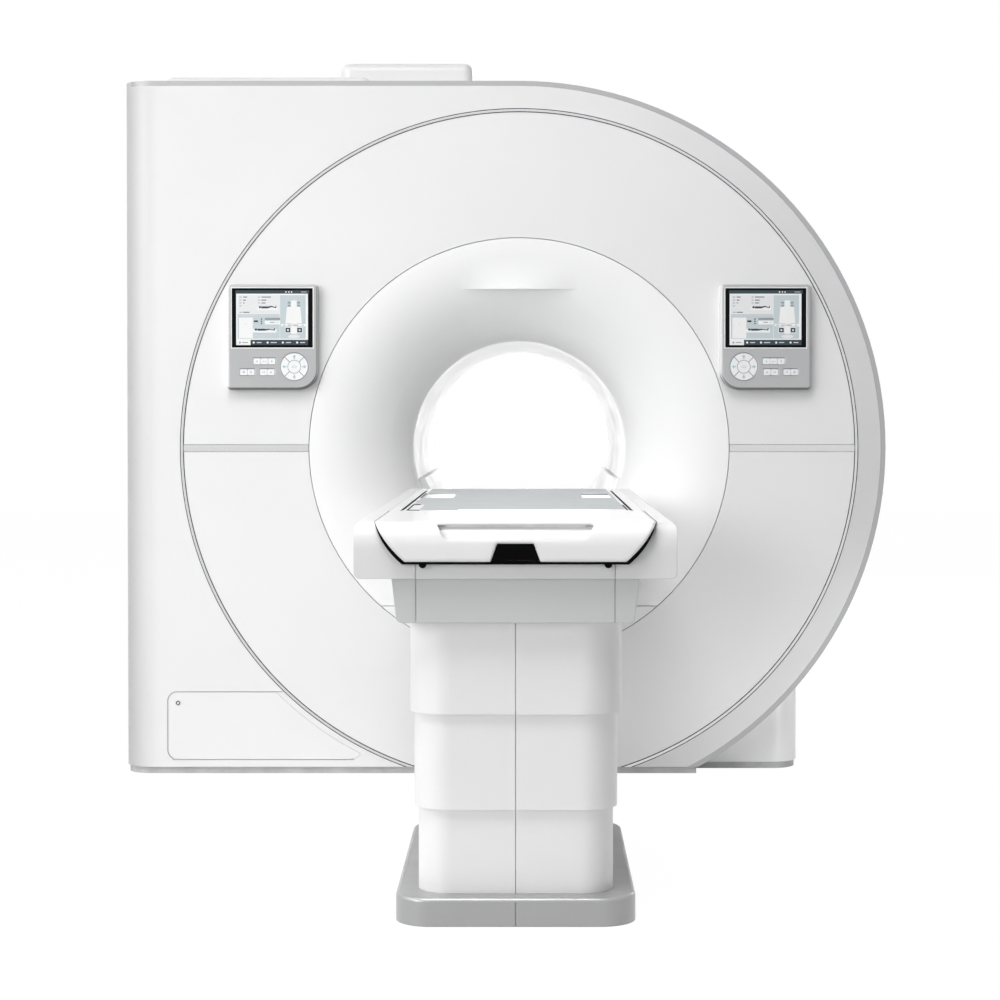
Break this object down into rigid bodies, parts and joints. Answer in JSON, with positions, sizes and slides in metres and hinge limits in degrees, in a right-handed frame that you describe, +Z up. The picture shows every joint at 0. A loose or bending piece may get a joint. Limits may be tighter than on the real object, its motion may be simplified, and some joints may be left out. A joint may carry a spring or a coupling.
{
  "type": "mri scanner",
  "caption": "Whole-body magnetic resonance scanner: round-arched gantry with funnelled bore, consoles, service hatch, and a lifting patient table with sliding top.",
  "frame": {"origin": "floor point under the middle of the bore", "axes": "+Z up, +Y from the patient table into the bore, +X to the right seen from the table end"},
  "size_m": [2.268, 3.757, 2.219],
  "materials": {
    "cover_white": "satin moulded cover, off-white",
    "funnel_white": "smooth satin white",
    "bore_white": "smooth white bore lining",
    "table_white": "gloss white moulding",
    "column_white": "satin white paint",
    "base_silver": "fine silver-grey paint",
    "trim_silver": "bright satin strip",
    "console_silver": "silver paint",
    "key_white": "translucent white key",
    "screen_glass": "display behind black-edged glass",
    "deck_grey": "grey laminate",
    "black_rubber": "black rubber",
    "black_plastic": "black plastic",
    "dark_plinth": "dark grey foot",
    "frame_aluminium": "plain aluminium",
    "vessel_steel": "brushed stainless steel",
    "post_steel": "ground steel",
    "coil_resin": "cast resin"
  },
  "bodies": {
    "gantry": {"base_plinth": "dark_plinth", "magnet_vessel": "vessel_steel", "gradient_coil": "coil_resin", "body_coil": "coil_resin", "bore_liner": "bore_white", "bore_bridge": "bore_white", "cover_frames": "frame_aluminium", "front_cover": "cover_white", "edge_trim": "trim_silver", "ring_panel_upper": "cover_white", "ring_panel_lower": "cover_white", "ring_trim": "trim_silver", "funnel_upper": "funnel_white", "funnel_lower": "funnel_white", "left_side_cover": "cover_white", "right_side_cover": "cover_white", "rear_cover": "cover_white", "rear_funnel": "funnel_white", "turret_cover": "cover_white", "top_duct_cover": "cover_white", "cold_head": "vessel_steel", "console_housings": "console_silver", "display_screens": "screen_glass", "floor_cable_duct": "base_silver", "table_base": "base_silver", "column_lower_cover": "column_white", "lift_column": "post_steel"},
    "middle_stage": {"column_middle_cover": "column_white", "lift_middle": "post_steel"},
    "lift": {"column_upper_cover": "column_white", "lift_ram": "post_steel", "table_tray": "table_white", "table_body": "table_white", "table_guides": "table_white", "table_nose": "table_white", "nose_seal": "black_rubber"},
    "cradle": {"tabletop": "table_white", "deck_panel": "deck_grey"},
    "hatch": {"access_panel": "cover_white"},
    "hatch_lock": {"access_lock": "trim_silver"},
    "release": {"release_lever": "black_plastic"},
    "left_key_1_body": {"left_key_1": "key_white"},
    "left_key_2_body": {"left_key_2": "key_white"},
    "left_key_3_body": {"left_key_3": "key_white"},
    "left_key_4_body": {"left_key_4": "key_white"},
    "left_key_5_body": {"left_key_5": "key_white"},
    "left_key_6_body": {"left_key_6": "key_white"},
    "left_key_7_body": {"left_key_7": "key_white"},
    "left_wheel_body": {"left_wheel": "key_white"},
    "left_wheel_centre_body": {"left_wheel_centre": "key_white"},
    "right_key_1_body": {"right_key_1": "key_white"},
    "right_key_2_body": {"right_key_2": "key_white"},
    "right_key_3_body": {"right_key_3": "key_white"},
    "right_key_4_body": {"right_key_4": "key_white"},
    "right_key_5_body": {"right_key_5": "key_white"},
    "right_key_6_body": {"right_key_6": "key_white"},
    "right_key_7_body": {"right_key_7": "key_white"},
    "right_wheel_body": {"right_wheel": "key_white"},
    "right_wheel_centre_body": {"right_wheel_centre": "key_white"}
  },
  "joints": [
    {"name": "table_lift", "type": "slide", "parent": "gantry", "child": "lift", "axis": [0, 0, 1], "range_m": [-0.34, 0]},
    {"name": "middle_lift", "type": "slide", "parent": "gantry", "child": "middle_stage", "axis": [0, 0, 1], "range_m": [-0.17, 0]},
    {"name": "tabletop_slide", "type": "slide", "parent": "lift", "child": "cradle", "axis": [0, 1, 0], "range_m": [0, 1.3]},
    {"name": "hatch_hinge", "type": "hinge", "parent": "gantry", "child": "hatch", "pos_m": [-0.75, -0.903, 0.0446], "axis": [1, 0, 0], "range_deg": [0, 90]},
    {"name": "lock_turn", "type": "hinge", "parent": "hatch", "child": "hatch_lock", "pos_m": [-1.016, -0.9, 0.211], "axis": [0, -1, 0], "range_deg": [-90, 0]},
    {"name": "release_pull", "type": "hinge", "parent": "lift", "child": "release", "pos_m": [0, -2.849, 0.798], "axis": [-1, 0, 0], "range_deg": [0, 20], "stiffness_Nm_per_rad": 0.3},
    {"name": "left_key_1_press", "type": "slide", "parent": "gantry", "child": "left_key_1_body", "axis": [0, 1, 0], "range_m": [0, 0.0015], "stiffness_N_per_m": 600},
    {"name": "left_key_2_press", "type": "slide", "parent": "gantry", "child": "left_key_2_body", "axis": [0, 1, 0], "range_m": [0, 0.0015], "stiffness_N_per_m": 600},
    {"name": "left_key_3_press", "type": "slide", "parent": "gantry", "child": "left_key_3_body", "axis": [0, 1, 0], "range_m": [0, 0.0015], "stiffness_N_per_m": 600},
    {"name": "left_key_4_press", "type": "slide", "parent": "gantry", "child": "left_key_4_body", "axis": [0, 1, 0], "range_m": [0, 0.0015], "stiffness_N_per_m": 600},
    {"name": "left_key_5_press", "type": "slide", "parent": "gantry", "child": "left_key_5_body", "axis": [0, 1, 0], "range_m": [0, 0.0015], "stiffness_N_per_m": 600},
    {"name": "left_key_6_press", "type": "slide", "parent": "gantry", "child": "left_key_6_body", "axis": [0, 1, 0], "range_m": [0, 0.0015], "stiffness_N_per_m": 600},
    {"name": "left_key_7_press", "type": "slide", "parent": "gantry", "child": "left_key_7_body", "axis": [0, 1, 0], "range_m": [0, 0.0015], "stiffness_N_per_m": 600},
    {"name": "left_wheel_press", "type": "slide", "parent": "gantry", "child": "left_wheel_body", "axis": [0, 1, 0], "range_m": [0, 0.0015], "stiffness_N_per_m": 600},
    {"name": "left_wheel_centre_press", "type": "slide", "parent": "gantry", "child": "left_wheel_centre_body", "axis": [0, 1, 0], "range_m": [0, 0.0015], "stiffness_N_per_m": 600},
    {"name": "right_key_1_press", "type": "slide", "parent": "gantry", "child": "right_key_1_body", "axis": [0, 1, 0], "range_m": [0, 0.0015], "stiffness_N_per_m": 600},
    {"name": "right_key_2_press", "type": "slide", "parent": "gantry", "child": "right_key_2_body", "axis": [0, 1, 0], "range_m": [0, 0.0015], "stiffness_N_per_m": 600},
    {"name": "right_key_3_press", "type": "slide", "parent": "gantry", "child": "right_key_3_body", "axis": [0, 1, 0], "range_m": [0, 0.0015], "stiffness_N_per_m": 600},
    {"name": "right_key_4_press", "type": "slide", "parent": "gantry", "child": "right_key_4_body", "axis": [0, 1, 0], "range_m": [0, 0.0015], "stiffness_N_per_m": 600},
    {"name": "right_key_5_press", "type": "slide", "parent": "gantry", "child": "right_key_5_body", "axis": [0, 1, 0], "range_m": [0, 0.0015], "stiffness_N_per_m": 600},
    {"name": "right_key_6_press", "type": "slide", "parent": "gantry", "child": "right_key_6_body", "axis": [0, 1, 0], "range_m": [0, 0.0015], "stiffness_N_per_m": 600},
    {"name": "right_key_7_press", "type": "slide", "parent": "gantry", "child": "right_key_7_body", "axis": [0, 1, 0], "range_m": [0, 0.0015], "stiffness_N_per_m": 600},
    {"name": "right_wheel_press", "type": "slide", "parent": "gantry", "child": "right_wheel_body", "axis": [0, 1, 0], "range_m": [0, 0.0015], "stiffness_N_per_m": 600},
    {"name": "right_wheel_centre_press", "type": "slide", "parent": "gantry", "child": "right_wheel_centre_body", "axis": [0, 1, 0], "range_m": [0, 0.0015], "stiffness_N_per_m": 600}
  ],
  "couplings": [
    {"joint": "middle_lift", "follows": "table_lift", "ratio": 0.5}
  ]
}
